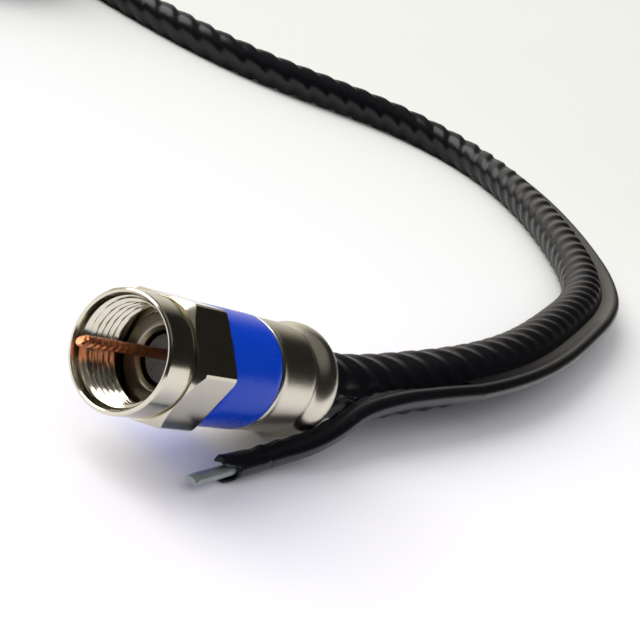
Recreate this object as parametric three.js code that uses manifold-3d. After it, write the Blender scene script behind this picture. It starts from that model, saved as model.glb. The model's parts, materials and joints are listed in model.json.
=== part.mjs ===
// A coaxial lead with a ground wire moulded beside it and a compression plug on each end.
// The first stretch lies in an open bend, and the rest is wound in a coil held by a tie.
// Millimetres, +Z up, the lead lying on the plane z = 0.
import * as THREE from 'three';
import { mergeVertices } from 'three/addons/utils/BufferGeometryUtils.js';
import Module from 'manifold-3d';

const wasm = await Module();
wasm.setup();

// Cable
const coaxDiameter = 6.9;
const groundJacketDiameter = 2.1;
const groundWireDiameter = 1.2;
const webWidth = 1.0;
const webThickness = 1.0;
const groundRise = THREE.MathUtils.degToRad(12.7);
const insulatorDiameter = 4.6;
const conductorDiameter = 1.02;
const cableLength = 1772;

// Coupling nut: sizes along the plug's axis start at the front rim of the nut
const nutLength = 9.25;
const collarDiameter = 10.9;
const collarLength = 3.3;
const hexAcrossFlats = 11.11;
const reliefWidth = 0.3;
const reliefDepth = 0.25;
const hexChamferStart = 0.05;
const hexRearBevel = 0.4;
const rimBevel = 0.25;
const mouthDiameter = 9.8;
const mouthLength = 0.85;
const threadMajor = 9.525;
const threadMinor = 8.76;
const threadPitch = 25.4 / 32;
const threadTurns = 6;
const lipThickness = 1.65;

// Post, body, band and sleeve
const barrelWall = 0.4;
const flangeDiameter = 8.5;
const flangeThickness = 1.1;
const flangeBevel = 0.4;
const bandLength = 8.05;
const bandDiameter = 11.08;
const bandWall = 0.35;
const bodyWall = 1.6;
const bodyTailLength = 6.1;
const sleeveDiameter = 10.9;
const sleeveStraightLength = 6.2;
const sleeveGrooveDiameter = 10.0;
const sleeveGrooveWidth = 1.0;
const sleeveBulgeLength = 3.41;
const sleeveBulgeDiameter = 11.7;
const sleeveRearDiameter = 9.6;
const pinReach = 5.0;
const insulatorRecess = 0.6;

// Clearances
const gap = 0.3;
const wireGap = 0.15;
const runningGap = 0.3;

// Coil and tie
const coilApproach = 33;
const meanTurnRadius = 56;
const turnsAcross = 2;
const layers = 2;
const turnGap = 0.2;
const turnCorner = 1.9;
const tieThickness = 0.9;
const tieWidth = 4.6;
const tieBeforeTail = THREE.MathUtils.degToRad(75);
const tieHeadDepth = 4.0;
const tieHeadHeight = 5.5;
const tieCorner = 1.3;

// Lie of the two ends
const noseUp = THREE.MathUtils.degToRad(8.9);
const rearCentreA = new THREE.Vector3(28.6, 0, 5.6);
const nutTurnA = THREE.MathUtils.degToRad(-15.7);
const tailRadius = 50;
const tailLength = 116;
const legLengthB = 24;

// Faceting
const roundSides = 28;
const coreSides = 20;
const coilSides = 48;

// Derived sizes
const coaxRadius = coaxDiameter / 2;
const groundRadius = groundJacketDiameter / 2;
const groundOffset = coaxRadius + webWidth + groundRadius;
const sectionWidth = coaxDiameter + webWidth + groundJacketDiameter;
const barrelBore = insulatorDiameter / 2 + gap;
const barrelRadius = barrelBore + barrelWall;
const hexStart = collarLength + reliefWidth;
const threadEnd = mouthLength + threadTurns * threadPitch;
const lipStart = nutLength - lipThickness;
const flangeStart = lipStart - runningGap - flangeThickness;
const bandStart = nutLength + runningGap;
const sleeveStart = bandStart + bandLength + gap;
const bodyRadius = bandDiameter / 2 - bandWall - gap;
const bodyEnd = sleeveStart + bodyTailLength;
const shoulder = sleeveStart + sleeveStraightLength;
const grooveStart = shoulder + (sleeveDiameter - sleeveGrooveDiameter) / 2;
const grooveEnd = grooveStart + sleeveGrooveWidth;
const plugLength = grooveEnd + sleeveBulgeLength;
const rearBore = coaxRadius + gap;
const legInset = plugLength - bodyEnd - gap;
const turnStep = sectionWidth + turnGap;
const layerStep = coaxDiameter + turnGap;
const coilHalfWidth = (turnsAcross * turnStep - turnGap) / 2;
const coilHeight = layers * layerStep - turnGap;

// Points of the coax centre line where it isn't coiled, from the plug to the coil
const leadRoute = [
  [34, 0, 4.76], [39.5, 0.15, 4.1], [46, 0.6, 3.62], [53.3, 1.0, 3.45], [62, 1.3, 3.45],
  [72.7, 2.2, 3.45], [83.6, 3.8, 3.45], [94, 6.0, 3.45], [104, 8.6, 3.45], [117, 12.3, 3.45],
  [129, 16.0, 3.45], [140, 20.2, 3.45], [149.5, 25.0, 3.45], [160, 31.8, 3.45], [171, 40.6, 3.45],
  [182.5, 51.2, 3.45], [192.5, 62.3, 3.45], [199.7, 73, 3.45], [203.8, 83.5, 3.45], [204, 93, 3.45],
  [200.3, 102, 3.45], [193, 109.3, 3.45], [183.5, 115.2, 3.45], [173.5, 121.3, 3.45],
  [165.8, 129, 3.45], [161, 138.5, 3.45], [158.4, 150, 3.45], [157, 166, 3.45], [156, 182, 3.45],
];
const splitLength = 38;
const [leadEndX, leadEndY] = leadRoute[leadRoute.length - 1];
const coilCentreX = leadEndX - meanTurnRadius - turnStep / 2;
const coilCentreY = leadEndY + coilApproach;

// Points of the torn-off ground leg, from the split to the bare wire's tip
const groundRouteA = [
  [52, -4.2, 4.9], [43, -4.4, 4.9], [36, -4.8, 4.3], [30, -5.9, 3.1], [26, -6.3, 2.3],
  [20, -6.3, 1.5], [13.5, -6.7, 1.1], [7.3, -7.3, 1.06],
];

// The other end's ground leg: along the plug from its front rim, outwards and up from the coil
const groundRouteB = [
  [45, 5.6, 1.6], [37, 6.4, 1.2], [29, 7.6, 1.2], [20, 7.9, 1.2], [11, 7.9, 1.2],
];
const bareWireLength = 7;

const nickel = { color: 0xc9c4b4, roughness: 0.25, metalness: 1.0 };
const jacketBlack = { color: 0x0c0c0c, roughness: 0.45, metalness: 0.0 };

function finish(name, geometry, look) {
  const mesh = new THREE.Mesh(geometry, new THREE.MeshStandardMaterial(look));
  mesh.name = name;
  return mesh;
}

// A curve whose frames stay level: the section's x is to the right of travel and its y is down
class LevelCurve extends THREE.CatmullRomCurve3 {
  computeFrenetFrames(segments) {
    const frames = { tangents: [], normals: [], binormals: [] };
    for (let i = 0; i <= segments; i++) {
      const tangent = this.getTangentAt(i / segments);
      const normal = new THREE.Vector3(tangent.y, -tangent.x, 0).normalize();
      frames.tangents.push(tangent);
      frames.normals.push(normal);
      frames.binormals.push(new THREE.Vector3().crossVectors(tangent, normal));
    }
    return frames;
  }
}

function toVectors(rows) {
  return rows.map((row) => new THREE.Vector3(...row));
}

// The stretch of a curve between two distances along it
function stretch(curve, from, to, spacing) {
  const total = curve.getLength();
  const steps = Math.max(2, Math.round((to - from) / spacing));
  const points = [];
  for (let i = 0; i <= steps; i++) {
    const share = (from + ((to - from) * i) / steps) / total;
    points.push(curve.getPointAt(Math.min(1, share)));
  }
  return new LevelCurve(points);
}

function sweep(shape, curve, curveSegments) {
  const steps = curve.points.length - 1;
  return new THREE.ExtrudeGeometry(shape, { steps, curveSegments, extrudePath: curve });
}

function polygonShape(radius, sides) {
  const points = [];
  for (let i = 0; i < sides; i++) {
    const angle = (2 * Math.PI * (i + 0.5)) / sides;
    points.push(new THREE.Vector2(radius * Math.cos(angle), radius * Math.sin(angle)));
  }
  return new THREE.Shape(points);
}

// Coax circle and ground circle joined by the web, twelve points
function figureEightShape() {
  const points = [];
  const along = new THREE.Vector2(Math.cos(groundRise), -Math.sin(groundRise));
  const across = new THREE.Vector2(-along.y, along.x);
  const place = (u, v) => {
    points.push(along.clone().multiplyScalar(u).addScaledVector(across, v));
  };
  const webAngle = Math.asin(webThickness / 2 / coaxRadius);
  const coaxPoints = 8;
  for (let i = 0; i < coaxPoints; i++) {
    const angle = webAngle + ((2 * Math.PI - 2 * webAngle) * i) / (coaxPoints - 1);
    place(coaxRadius * Math.cos(angle), coaxRadius * Math.sin(angle));
  }
  const groundAngle = Math.PI - Math.asin(webThickness / 2 / groundRadius);
  const groundPoints = 4;
  for (let i = 0; i < groundPoints; i++) {
    const angle = -groundAngle + (2 * groundAngle * i) / (groundPoints - 1);
    place(groundOffset + groundRadius * Math.cos(angle), groundRadius * Math.sin(angle));
  }
  return new THREE.Shape(points);
}

// A solid turned about +X from its outline, given as [distance along the axis, radius]
function turned(outline, sides) {
  const points = outline.map(([along, radius]) => new THREE.Vector2(radius, along));
  let area = 0;
  points.forEach((point, i) => {
    area += point.cross(points[(i + 1) % points.length]);
  });
  if (area < 0) {
    points.reverse();
  }
  const touchesAxis = points.some((point) => point.x === 0);
  if (!touchesAxis) {
    points.push(points[0].clone());
  }
  return new THREE.LatheGeometry(points, sides).rotateZ(-Math.PI / 2);
}

function toSolid(geometry) {
  const bare = geometry.clone();
  bare.deleteAttribute('normal');
  bare.deleteAttribute('uv');
  const merged = mergeVertices(bare, 1e-5);
  const mesh = new wasm.Mesh({
    numProp: 3,
    vertProperties: new Float32Array(merged.attributes.position.array),
    triVerts: new Uint32Array(merged.index.array),
  });
  return new wasm.Manifold(mesh);
}

function toGeometry(solid) {
  const mesh = solid.getMesh();
  const geometry = new THREE.BufferGeometry();
  geometry.setAttribute('position', new THREE.BufferAttribute(mesh.vertProperties, 3));
  geometry.setIndex(new THREE.BufferAttribute(mesh.triVerts, 1));
  geometry.computeVertexNormals();
  return geometry;
}

// Outline of the nut's bore, from the rim to the lip, with one ridge for each thread turn
function nutBoreOutline() {
  const overrun = 1;
  const outline = [
    [-overrun, 0],
    [-overrun, mouthDiameter / 2 + rimBevel + overrun],
    [rimBevel, mouthDiameter / 2],
    [mouthLength, mouthDiameter / 2],
  ];
  for (let i = 0; i < threadTurns; i++) {
    const start = mouthLength + i * threadPitch;
    outline.push([start + threadPitch * 0.3, threadMinor / 2]);
    outline.push([start + threadPitch * 0.6, threadMinor / 2]);
    outline.push([start + threadPitch * 0.9, threadMajor / 2]);
  }
  outline.push([threadEnd, threadMajor / 2]);
  outline.push([lipStart, threadMajor / 2]);
  outline.push([lipStart, barrelRadius + runningGap]);
  outline.push([nutLength + overrun, barrelRadius + runningGap]);
  outline.push([nutLength + overrun, 0]);
  return outline;
}

// Round collar and relief joined to a hexagon whose corners are chamfered at both ends
function nutGeometry() {
  const collarRadius = collarDiameter / 2;
  const cornerRadius = hexAcrossFlats / 2 / Math.cos(Math.PI / 6);
  const envelopeStart = hexAcrossFlats / 2 + hexChamferStart;
  const overlap = 0.5;
  const collar = turned([
    [0, 0],
    [0, collarRadius - rimBevel],
    [rimBevel, collarRadius],
    [collarLength, collarRadius],
    [collarLength, collarRadius - reliefDepth],
    [hexStart + overlap, collarRadius - reliefDepth],
    [hexStart + overlap, 0],
  ], roundSides);
  const envelope = turned([
    [hexStart, 0],
    [hexStart, envelopeStart],
    [hexStart + cornerRadius + overlap - envelopeStart, cornerRadius + overlap],
    [nutLength - hexRearBevel, cornerRadius + overlap / 4],
    [nutLength, cornerRadius + overlap / 4 - hexRearBevel],
    [nutLength, 0],
  ], roundSides * 2);
  const hexagon = new THREE.ExtrudeGeometry(hexagonShape(cornerRadius), {
    depth: nutLength - hexStart,
    bevelEnabled: false,
  });
  hexagon.rotateX(-Math.PI / 2).rotateZ(-Math.PI / 2).translate(hexStart, 0, 0);
  const bore = turned(nutBoreOutline(), roundSides);
  const outside = toSolid(collar).add(toSolid(hexagon).intersect(toSolid(envelope)));
  return toGeometry(outside.subtract(toSolid(bore)));
}

function hexagonShape(cornerRadius) {
  const corners = [];
  for (let i = 0; i < 6; i++) {
    const angle = (i * Math.PI) / 3;
    corners.push(new THREE.Vector2(cornerRadius * Math.cos(angle), cornerRadius * Math.sin(angle)));
  }
  return new THREE.Shape(corners);
}

function postGeometry() {
  return turned([
    [flangeStart, barrelBore + flangeBevel],
    [flangeStart, flangeDiameter / 2],
    [flangeStart + flangeThickness, flangeDiameter / 2],
    [flangeStart + flangeThickness, barrelRadius],
    [bodyEnd, barrelRadius],
    [bodyEnd, barrelBore],
    [flangeStart + flangeBevel, barrelBore],
  ], roundSides);
}

function bodyGeometry() {
  return turned([
    [bandStart, bodyRadius - bodyWall],
    [bandStart, bodyRadius],
    [bodyEnd, bodyRadius],
    [bodyEnd, bodyRadius - bodyWall],
  ], roundSides);
}

function bandGeometry() {
  const bevel = bandWall / 2;
  return turned([
    [bandStart, bandDiameter / 2 - bandWall],
    [bandStart, bandDiameter / 2 - bevel],
    [bandStart + bevel, bandDiameter / 2],
    [bandStart + bandLength - bevel, bandDiameter / 2],
    [bandStart + bandLength, bandDiameter / 2 - bevel],
    [bandStart + bandLength, bandDiameter / 2 - bandWall],
  ], roundSides);
}

// Brushed tube, shoulder, groove and rounded rear bulge, closed in around the cable
function sleeveGeometry() {
  const outer = sleeveDiameter / 2;
  const groove = sleeveGrooveDiameter / 2;
  const bulge = sleeveBulgeDiameter / 2;
  const bulgeMiddle = (grooveEnd + plugLength) / 2;
  return turned([
    [sleeveStart, bodyRadius + gap],
    [sleeveStart, outer],
    [shoulder, outer],
    [grooveStart, groove],
    [grooveEnd, groove],
    [grooveEnd + (bulgeMiddle - grooveEnd) * 0.4, bulge - 0.25],
    [bulgeMiddle, bulge],
    [plugLength - 0.7, bulge - 0.25],
    [plugLength, sleeveRearDiameter / 2],
    [plugLength, rearBore],
    [bodyEnd + gap, rearBore],
    [bodyEnd + gap, bodyRadius + gap],
  ], roundSides);
}

function insulatorGeometry() {
  const start = flangeStart + insulatorRecess;
  return turned([
    [start, conductorDiameter / 2 + wireGap],
    [start, insulatorDiameter / 2],
    [bodyEnd, insulatorDiameter / 2],
    [bodyEnd, conductorDiameter / 2 + wireGap],
  ], coreSides);
}

function conductorGeometry() {
  const radius = conductorDiameter / 2;
  return turned([
    [-pinReach, 0],
    [-pinReach, radius * 0.7],
    [-pinReach + radius * 0.6, radius],
    [bodyEnd, radius],
    [bodyEnd, 0],
  ], 12);
}

// The plug's pieces in its own frame: +X runs from the mating end to the cable
function plug(prefix, nutTurn) {
  const group = new THREE.Group();
  const nut = finish(`${prefix}_coupling_nut`, nutGeometry(), nickel);
  nut.rotation.x = nutTurn;
  group.add(nut);
  group.add(finish(`${prefix}_post`, postGeometry(), nickel));
  group.add(finish(`${prefix}_body`, bodyGeometry(), nickel));
  group.add(finish(`${prefix}_colour_band`, bandGeometry(), {
    color: 0x0040c0,
    roughness: 0.3,
    metalness: 0.0,
  }));
  group.add(finish(`${prefix}_sleeve`, sleeveGeometry(), nickel));
  group.add(finish(`${prefix}_insulator`, insulatorGeometry(), {
    color: 0x8f8c8a,
    roughness: 0.35,
    metalness: 0.0,
  }));
  group.add(finish(`${prefix}_centre_conductor`, conductorGeometry(), {
    color: 0xb8592c,
    roughness: 0.35,
    metalness: 1.0,
  }));
  return group;
}

// The round coax leg, and the ground leg with its wire bare at the tip
function legs(prefix, coaxCurve, groundCurve) {
  const groundLength = groundCurve.getLength();
  const jacketCurve = stretch(groundCurve, gap, groundLength - bareWireLength, 4);
  const wireCurve = stretch(groundCurve, gap, groundLength, 4);
  const tube = polygonShape(groundRadius, 8);
  tube.holes.push(polygonShape(groundWireDiameter / 2 + wireGap, 8));
  return [
    finish(`${prefix}_coax_leg`, sweep(polygonShape(coaxRadius, 10), coaxCurve), jacketBlack),
    finish(`${prefix}_ground_leg`, sweep(tube, jacketCurve), jacketBlack),
    finish(`${prefix}_ground_wire`, sweep(polygonShape(groundWireDiameter / 2, 8), wireCurve), {
      color: 0x8a938c,
      roughness: 0.4,
      metalness: 0.9,
    }),
  ];
}

// Where the ground wire's centre lies beside a point of the coax centre line
function groundBeside(curve, distance) {
  const u = distance / curve.getLength();
  const tangent = curve.getTangentAt(u);
  const right = new THREE.Vector3(tangent.y, -tangent.x, 0).normalize();
  const up = new THREE.Vector3().crossVectors(right, tangent);
  return curve.getPointAt(u)
    .addScaledVector(right, groundOffset * Math.cos(groundRise))
    .addScaledVector(up, groundOffset * Math.sin(groundRise));
}

const nearEnd = new THREE.Group();
const rearwardA = new THREE.Vector3(Math.cos(noseUp), 0, -Math.sin(noseUp));
const plugA = plug('plug_a', nutTurnA);
plugA.rotation.y = noseUp;
plugA.position.copy(rearCentreA).addScaledVector(rearwardA, -plugLength);
nearEnd.add(plugA);

const startA = rearCentreA.clone().addScaledVector(rearwardA, -legInset);
const exitA = rearCentreA.clone().addScaledVector(rearwardA, gap);
const leadCurve = new LevelCurve([startA, exitA, ...toVectors(leadRoute)]);
const leadEnd = leadCurve.getLength();
const coaxLegA = stretch(leadCurve, 0, splitLength - gap, 4);
const groundStartA = groundBeside(leadCurve, splitLength);
const groundCurveA = new LevelCurve([groundStartA, ...toVectors(groundRouteA)]);
nearEnd.add(...legs('plug_a', coaxLegA, groundCurveA));

const lead = finish(
  'cable_lead',
  sweep(figureEightShape(), stretch(leadCurve, splitLength, leadEnd, 8)),
  jacketBlack,
);

// How far round the coil the cable's length brings its tail and the other plug's rear
const onTop = tailLength + legLengthB;
const inTurns = cableLength - leadEnd - coilApproach - onTop;
const tailStartAngle = inTurns / meanTurnRadius;
const rearAngle = (tailStartAngle + onTop / tailRadius) % (2 * Math.PI);
const tieAngle = tailStartAngle - tieBeforeTail;

// The coil's cross-section: one chamfered cell for each turn, the cells run together
function coilOutline() {
  const halfWidth = sectionWidth / 2;
  const halfHeight = coaxRadius;
  const columns = [];
  for (let i = 0; i < turnsAcross; i++) {
    columns.push(meanTurnRadius + (i - (turnsAcross - 1) / 2) * turnStep);
  }
  const rows = [];
  for (let i = 0; i < layers; i++) {
    rows.push(halfHeight + i * layerStep);
  }
  const outline = [];
  const outer = columns[columns.length - 1] + halfWidth;
  const inner = columns[0] - halfWidth;
  columns.forEach((radius, i) => {
    if (i > 0) {
      outline.push([turnCorner, radius - turnStep / 2]);
    }
    outline.push([0, radius - halfWidth + turnCorner], [0, radius + halfWidth - turnCorner]);
  });
  rows.forEach((height, i) => {
    if (i > 0) {
      outline.push([height - layerStep / 2, outer - turnCorner]);
    }
    outline.push([height - halfHeight + turnCorner, outer]);
    outline.push([height + halfHeight - turnCorner, outer]);
  });
  [...columns].reverse().forEach((radius, i) => {
    if (i > 0) {
      outline.push([coilHeight - turnCorner, radius + turnStep / 2]);
    }
    outline.push([coilHeight, radius + halfWidth - turnCorner]);
    outline.push([coilHeight, radius - halfWidth + turnCorner]);
  });
  [...rows].reverse().forEach((height, i) => {
    if (i > 0) {
      outline.push([height + layerStep / 2, inner + turnCorner]);
    }
    outline.push([height + halfHeight - turnCorner, inner]);
    outline.push([height - halfHeight + turnCorner, inner]);
  });
  return outline;
}

// The wound turns as one ring, drawn in under the tie
function coilGeometry() {
  const ring = turned(coilOutline(), coilSides).rotateY(-Math.PI / 2);
  const notch = new THREE.BoxGeometry(
    2 * coilHalfWidth + 2,
    tieWidth + 2 * gap,
    2 * (tieThickness + gap),
  );
  notch.translate(meanTurnRadius, 0, 0).rotateZ(tieAngle);
  return toGeometry(toSolid(ring).subtract(toSolid(notch)));
}

// A flat strap closed round the turns, with its square head on the outside
function tieGeometry() {
  const low = 0;
  const high = coilHeight + gap + tieThickness;
  const side = coilHalfWidth + gap + tieThickness;
  const headLow = (coilHeight - tieHeadHeight) / 2;
  const outline = [
    [-side + tieCorner, low], [side - tieCorner, low], [side, low + tieCorner],
    [side, headLow], [side + tieHeadDepth, headLow],
    [side + tieHeadDepth, headLow + tieHeadHeight], [side, headLow + tieHeadHeight],
    [side, high - tieCorner], [side - tieCorner, high], [-side + tieCorner, high],
    [-side, high - tieCorner], [-side, low + tieCorner],
  ];
  const wall = tieThickness;
  const inset = tieCorner - wall * (2 - Math.SQRT2);
  const hole = [
    [-side + wall + inset, low + wall], [side - wall - inset, low + wall],
    [side - wall, low + wall + inset], [side - wall, high - wall - inset],
    [side - wall - inset, high - wall], [-side + wall + inset, high - wall],
    [-side + wall, high - wall - inset], [-side + wall, low + wall + inset],
  ];
  const shape = new THREE.Shape(outline.map(([x, y]) => new THREE.Vector2(x, y)));
  shape.holes.push(new THREE.Path(hole.map(([x, y]) => new THREE.Vector2(x, y))));
  const strap = new THREE.ExtrudeGeometry(shape, { depth: tieWidth, bevelEnabled: false });
  strap.translate(0, 0, -tieWidth / 2).rotateX(Math.PI / 2);
  return strap.translate(meanTurnRadius, 0, 0).rotateZ(tieAngle);
}

const coil = new THREE.Group();
coil.position.set(coilCentreX, coilCentreY, 0);
coil.add(finish('cable_coil', coilGeometry(), jacketBlack));
coil.add(finish('coil_tie', tieGeometry(), { color: 0x1a1a1a, roughness: 0.5, metalness: 0.0 }));

// The far end lies on the coil
const cornerReach = hexAcrossFlats / 2 / Math.cos(Math.PI / 6);
const restHeight = coilHeight + gap;
const plugHeightB = restHeight + cornerReach;

// A point of the tail, by its distance back from the plug's rear and its height
function onTail(distance, height) {
  const angle = rearAngle - distance / tailRadius;
  return new THREE.Vector3(tailRadius * Math.cos(angle), tailRadius * Math.sin(angle), height);
}

const rearCentreB = onTail(0, plugHeightB);
const rearwardB = new THREE.Vector3(Math.sin(rearAngle), -Math.cos(rearAngle), 0);
const outwardB = new THREE.Vector3(Math.cos(rearAngle), Math.sin(rearAngle), 0);
const plugB = plug('plug_b', 0);
plugB.rotation.z = Math.atan2(rearwardB.y, rearwardB.x);
plugB.position.copy(rearCentreB).addScaledVector(rearwardB, -plugLength);
coil.add(plugB);

const cableHeightB = restHeight + coaxRadius;
const tailPoints = [
  rearCentreB.clone().addScaledVector(rearwardB, -legInset),
  rearCentreB.clone().addScaledVector(rearwardB, gap),
  onTail(6, plugHeightB - (plugHeightB - cableHeightB) * 0.2),
  onTail(13, (plugHeightB + cableHeightB) / 2),
  onTail(20, cableHeightB + (plugHeightB - cableHeightB) * 0.15),
];
const tailStep = 10;
for (let distance = legLengthB + 2; distance < onTop; distance += tailStep) {
  tailPoints.push(onTail(distance, cableHeightB));
}
tailPoints.push(onTail(onTop, cableHeightB));
const tailCurve = new LevelCurve(tailPoints);
const splitB = legInset + legLengthB;
const tailRight = (curve, distance) => {
  const tangent = curve.getTangentAt(distance / curve.getLength());
  return new THREE.Vector3(-tangent.y, tangent.x, 0).normalize();
};
const groundStartB = tailCurve.getPointAt(splitB / tailCurve.getLength())
  .addScaledVector(tailRight(tailCurve, splitB), groundOffset * Math.cos(groundRise))
  .add(new THREE.Vector3(0, 0, groundOffset * Math.sin(groundRise)));
const frontB = rearCentreB.clone().addScaledVector(rearwardB, -plugLength);
const groundPointsB = groundRouteB.map(([along, out, up]) => frontB.clone()
  .addScaledVector(rearwardB, along)
  .addScaledVector(outwardB, out)
  .setZ(restHeight + up));
const groundCurveB = new LevelCurve([groundStartB, ...groundPointsB]);
coil.add(...legs('plug_b', stretch(tailCurve, 0, splitB - gap, 3), groundCurveB));

// The tail runs towards the plug, so that its ground wire stays on the outside of the turns
const towardsPlug = stretch(tailCurve, splitB, tailCurve.getLength(), 3).points.reverse();
coil.add(finish('cable_tail', sweep(figureEightShape(), new LevelCurve(towardsPlug)), jacketBlack));

// The whole lead, moved so that the middle of its underside is the origin
const lead_assembly = new THREE.Group();
lead_assembly.add(nearEnd, lead, coil);
lead_assembly.updateMatrixWorld(true);
const bounds = new THREE.Box3().setFromObject(lead_assembly, true);
const middle = bounds.getCenter(new THREE.Vector3());
lead_assembly.position.set(-middle.x, -middle.y, -bounds.min.z);
lead_assembly.updateMatrixWorld(true);

export default lead_assembly;
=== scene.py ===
"""A coaxial lead with a ground wire beside it, two compression plugs and its spare length in a coil.

Lengths are metres. Every piece is a surface worked out with numpy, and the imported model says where
the plugs, the coil and the tie are.
"""
import json
import math

import bpy
import numpy as np
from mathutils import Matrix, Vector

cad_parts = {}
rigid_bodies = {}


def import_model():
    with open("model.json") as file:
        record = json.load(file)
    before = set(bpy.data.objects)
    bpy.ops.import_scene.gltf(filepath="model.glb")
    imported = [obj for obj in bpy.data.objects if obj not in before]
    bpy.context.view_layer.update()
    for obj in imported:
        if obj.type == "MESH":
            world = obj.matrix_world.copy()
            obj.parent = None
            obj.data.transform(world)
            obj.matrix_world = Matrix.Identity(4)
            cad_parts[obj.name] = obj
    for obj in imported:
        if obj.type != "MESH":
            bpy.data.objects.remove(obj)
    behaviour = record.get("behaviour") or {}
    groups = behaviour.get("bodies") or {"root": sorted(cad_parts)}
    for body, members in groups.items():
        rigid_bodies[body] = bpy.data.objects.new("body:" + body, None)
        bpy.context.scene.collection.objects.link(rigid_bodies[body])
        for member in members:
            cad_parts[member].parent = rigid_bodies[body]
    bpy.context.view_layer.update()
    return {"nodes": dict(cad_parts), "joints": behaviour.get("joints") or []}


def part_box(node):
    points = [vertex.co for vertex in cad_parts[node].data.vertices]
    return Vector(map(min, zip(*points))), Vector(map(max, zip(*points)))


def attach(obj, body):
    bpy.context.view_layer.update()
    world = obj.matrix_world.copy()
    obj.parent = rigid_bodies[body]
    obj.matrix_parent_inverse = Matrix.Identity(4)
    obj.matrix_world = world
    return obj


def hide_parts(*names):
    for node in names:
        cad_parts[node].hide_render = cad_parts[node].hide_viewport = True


bl_info = {
    "name": "Coaxial lead",
    "version": (1, 0, 0),
    "blender": (4, 5, 0),
    "location": "3D View > Sidebar > Coaxial lead",
    "description": "Builds the cable, the plugs, the tie and the stage of a coaxial lead",
    "category": "Object",
}

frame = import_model()

MM = 0.001
TURN = 2 * math.pi

# The cable's section
COAX_RADIUS = 3.45 * MM
GROUND_RADIUS = 1.05 * MM
WIRE_RADIUS = 0.6 * MM
WEB_THICKNESS = 0.9 * MM
GROUND_OFFSET = 5.5 * MM
GROUND_RISE = math.radians(12.7)

# How far from each end of the flat cable the plain strip beside its web gets its full width
FADE_LENGTH = 12 * MM

# The plug, by distance along its axis from the nut's front rim
PLUG_LENGTH = 28.96 * MM
NUT_LENGTH = 9.25 * MM
FLATS = 11.11 * MM
LEG_INSET = 4.66 * MM
RUNNING_GAP = 0.3 * MM
NEAR_CORNER_ANGLE = math.radians(15.7)

# The route of the coax centre, from the near plug to the coil, before it is moved onto the frame
LEAD_ROUTE = [
    (0.034, 0.0, 0.00476), (0.0395, 0.00015, 0.0041), (0.046, 0.0006, 0.00362),
    (0.0533, 0.001, 0.00345), (0.062, 0.0013, 0.00345), (0.0727, 0.0022, 0.00345),
    (0.0836, 0.0038, 0.00345), (0.094, 0.006, 0.00345), (0.104, 0.0086, 0.00345),
    (0.117, 0.0123, 0.00345), (0.129, 0.016, 0.00345), (0.140, 0.0202, 0.00345),
    (0.1495, 0.025, 0.00345), (0.160, 0.0318, 0.00345), (0.171, 0.0406, 0.00345),
    (0.1825, 0.0512, 0.00345), (0.1925, 0.0623, 0.00345), (0.1997, 0.073, 0.00345),
    (0.2038, 0.0835, 0.00345), (0.204, 0.093, 0.00345), (0.2003, 0.102, 0.00345),
    (0.193, 0.1093, 0.00345), (0.1835, 0.1152, 0.00345), (0.1735, 0.1213, 0.00345),
    (0.1658, 0.129, 0.00345), (0.161, 0.1385, 0.00345), (0.1584, 0.150, 0.00345),
    (0.157, 0.166, 0.00345), (0.156, 0.182, 0.00345), (0.1551, 0.198, 0.00345),
]
GROUND_ROUTE = [
    (0.052, -0.0042, 0.0049), (0.043, -0.0044, 0.0049), (0.036, -0.0048, 0.0043),
    (0.030, -0.0059, 0.0031), (0.026, -0.0063, 0.0023), (0.020, -0.0063, 0.0015),
    (0.0135, -0.0067, 0.0011), (0.0073, -0.0073, 0.00106),
]
# The far ground leg: along the plug from its front rim, outwards, and up from the coil's top
FAR_GROUND_ROUTE = [
    (0.045, 0.0056, 0.0016), (0.037, 0.0064, 0.0012), (0.029, 0.0076, 0.0012),
    (0.020, 0.0079, 0.0012), (0.011, 0.0079, 0.0012),
]
SPLIT = 38 * MM
BARE_WIRE = 6.4 * MM

# The coil: two turns across and two layers
COIL_CENTRE = np.array((0.0949, 0.215))
OUTER_LANE = 59.55 * MM
INNER_LANE = 49.35 * MM
TAIL_LANE = 50.0 * MM
LOWER_LAYER = 3.45 * MM
UPPER_LAYER = 10.55 * MM
COIL_TOP = 14.3 * MM
TAIL_HEIGHT = COIL_TOP + COAX_RADIUS
FAR_LEG = 24 * MM
TIE_MIDDLE = 56 * MM

# Where the coil's line changes its lane or its layer, in degrees round the coil
STEP_IN = (295, 355)
FIRST_CLIMB = (612, 662)
STEP_OUT = (915, 975)
SECOND_CLIMB = (1232, 1284)
STEP_TO_TAIL = (1262, 1330)
COIL_STEP = 7.5

# The camera, worked out from the photo, before it is moved onto the frame
EYE = (-0.09071, -0.06909, 0.05479)
EYE_RIGHT = (0.5629, -0.7157, 0.4134)
EYE_DOWN = (-0.0107, -0.5064, -0.8622)
FOCAL_PIXELS = 1450
PHOTO_WIDTH = 640
SENSOR_MM = 36


def coil_shift():
    """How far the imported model's coil stands from the coil of the route above."""
    low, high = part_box("cable_coil")
    middle = (np.array(low) + np.array(high)) / 2
    return np.array((middle[0] - COIL_CENTRE[0], middle[1] - COIL_CENTRE[1], low[2]))


SHIFT = coil_shift()


# Curves and surfaces


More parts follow.
